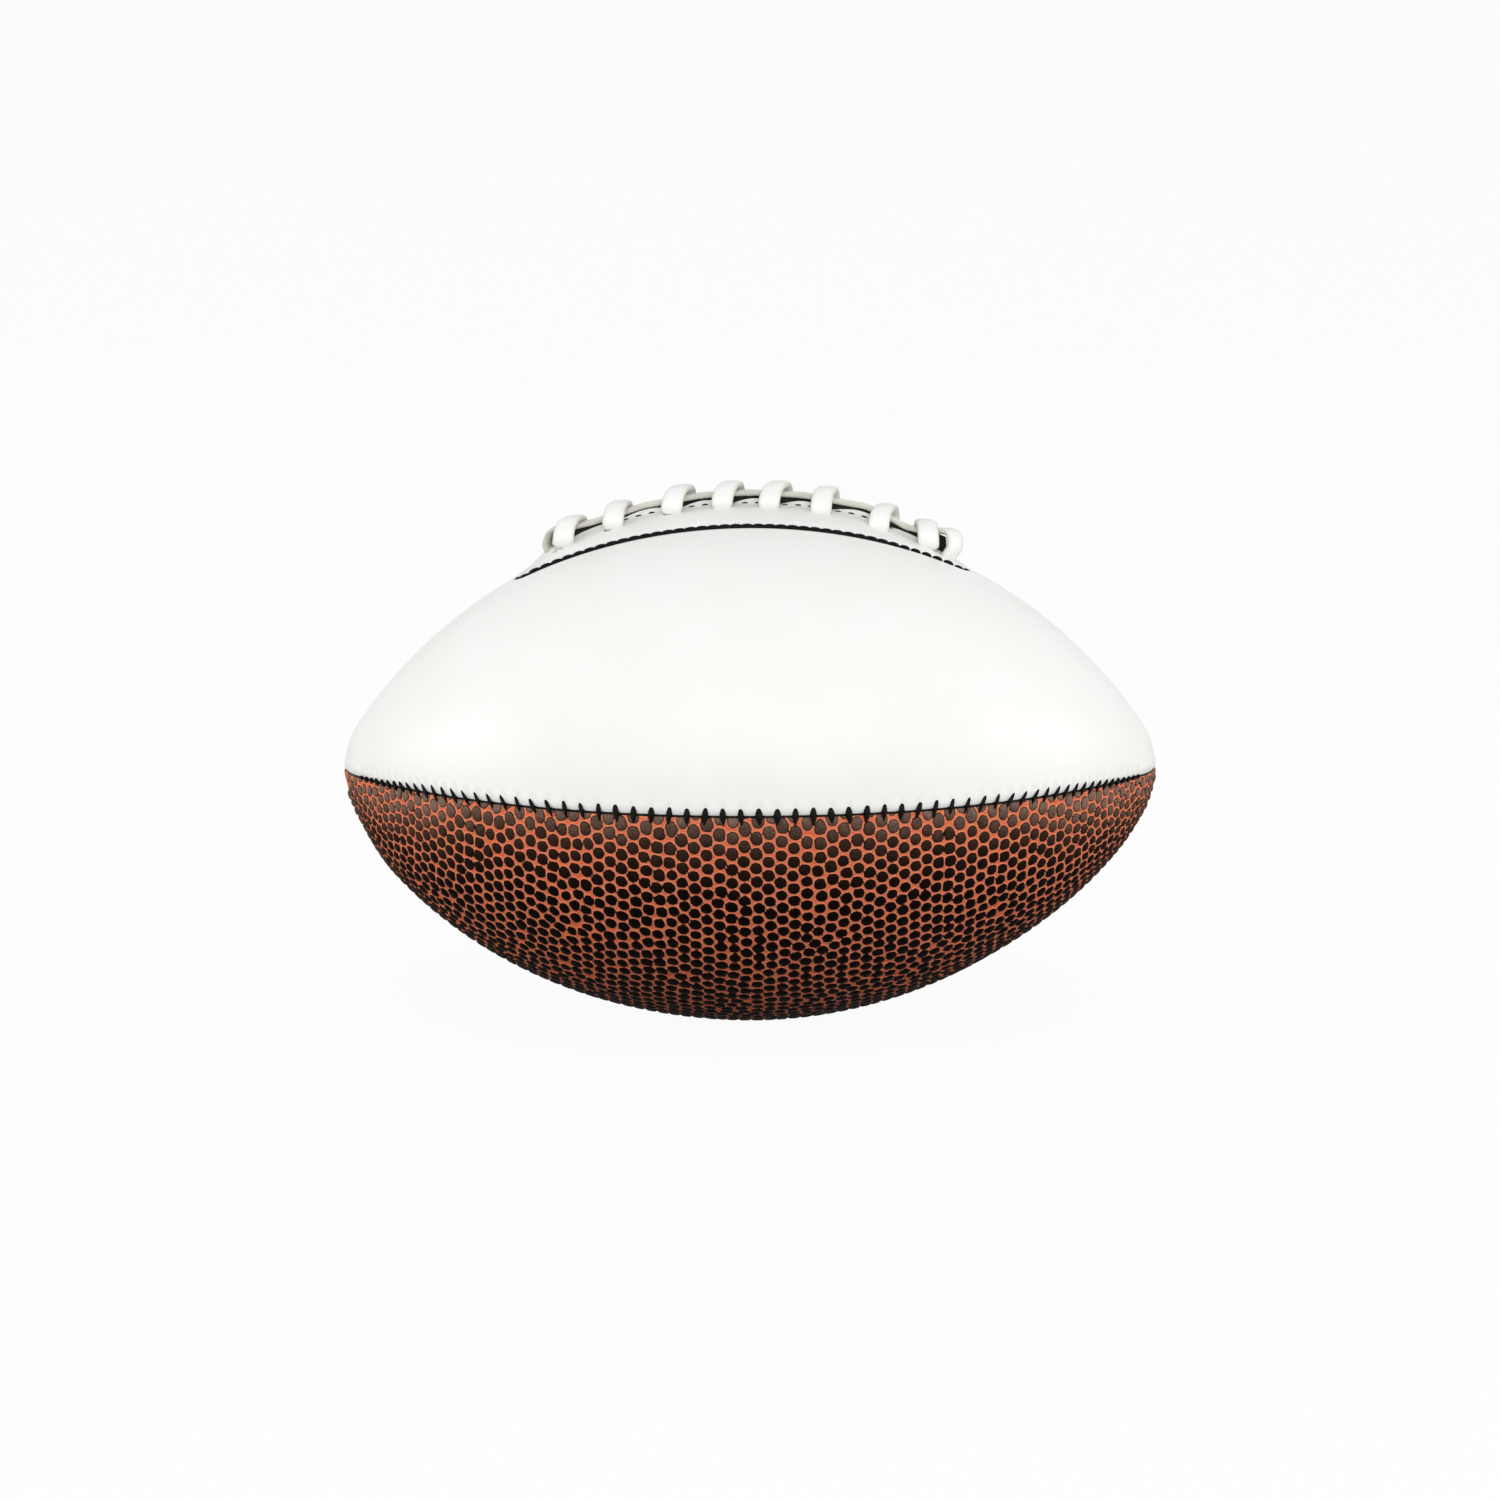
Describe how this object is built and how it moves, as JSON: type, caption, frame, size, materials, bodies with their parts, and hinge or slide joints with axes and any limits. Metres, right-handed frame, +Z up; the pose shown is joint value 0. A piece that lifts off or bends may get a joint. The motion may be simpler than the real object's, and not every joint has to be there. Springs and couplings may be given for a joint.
{
  "type": "american football",
  "caption": "Small laced American football with smooth white upper panels, pebbled brown lower panels, black seam stitching, a raised lace patch and an inflation valve.",
  "frame": {"origin": "middle of the ball on the surface that it rests on", "axes": "+X from tip to tip, +Z up through the laces, -Y towards the front"},
  "size_m": [0.1772, 0.1112, 0.1196],
  "materials": {
    "white_leather": "smooth coated synthetic leather",
    "brown_pebbled_leather": "pebbled composite, dark pebbles on a russet ground",
    "black_thread": "bonded sewing thread",
    "lace_vinyl": "soft white vinyl",
    "lining_cloth": "woven cotton",
    "bladder_rubber": "butyl rubber",
    "valve_rubber": "moulded rubber"
  },
  "bodies": {
    "ball": {"front_white_panel": "white_leather", "rear_white_panel": "white_leather", "lace_patch": "white_leather", "front_brown_panel": "brown_pebbled_leather", "rear_brown_panel": "brown_pebbled_leather", "front_seam_thread": "black_thread", "rear_seam_thread": "black_thread", "bottom_seam_thread": "black_thread", "top_left_seam_thread": "black_thread", "top_right_seam_thread": "black_thread", "patch_edge_thread": "black_thread", "slit_edge_thread": "black_thread", "lace": "lace_vinyl", "front_white_panel_lining": "lining_cloth", "rear_white_panel_lining": "lining_cloth", "front_brown_panel_lining": "lining_cloth", "rear_brown_panel_lining": "lining_cloth", "lace_backing": "lining_cloth", "bladder": "bladder_rubber", "valve_patch": "bladder_rubber", "valve_housing": "valve_rubber"},
    "valve_core": {"valve_core": "valve_rubber"}
  },
  "joints": [
    {"name": "valve_core_pull", "type": "slide", "parent": "ball", "child": "valve_core", "axis": [0, 0.7071, -0.7071], "range_m": [0, 0.014]}
  ]
}
